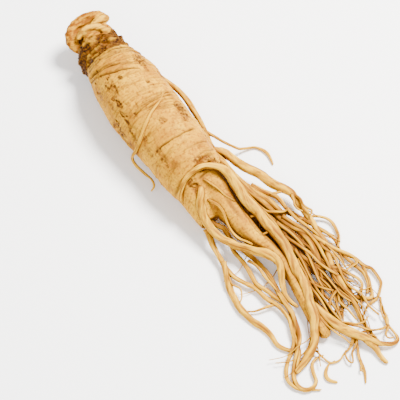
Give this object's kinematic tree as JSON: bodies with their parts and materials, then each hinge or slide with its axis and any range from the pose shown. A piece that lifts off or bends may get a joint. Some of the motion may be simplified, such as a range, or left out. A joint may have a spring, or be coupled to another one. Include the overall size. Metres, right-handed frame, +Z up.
{
  "type": "ginseng root",
  "caption": "Fresh ginseng root lying on its side: twisted crown, thick ringed taproot, forked legs and a long tangle of fine rootlets.",
  "frame": {"origin": "on the surface that the root lies on, at the middle of the flat of its belly, under the thickest part of the taproot", "axes": "+X along the root from the crown to the rootlet tips, +Z up from the surface that it lies on, +Y to the side on which the rootlets spread"},
  "size_m": [0.2414, 0.0745, 0.0349],
  "materials": {
    "root_skin": "matt washed root skin, straw coloured with brown rings, scars and creases"
  },
  "bodies": {
    "root": {"ginseng_root": "root_skin"}
  },
  "joints": []
}
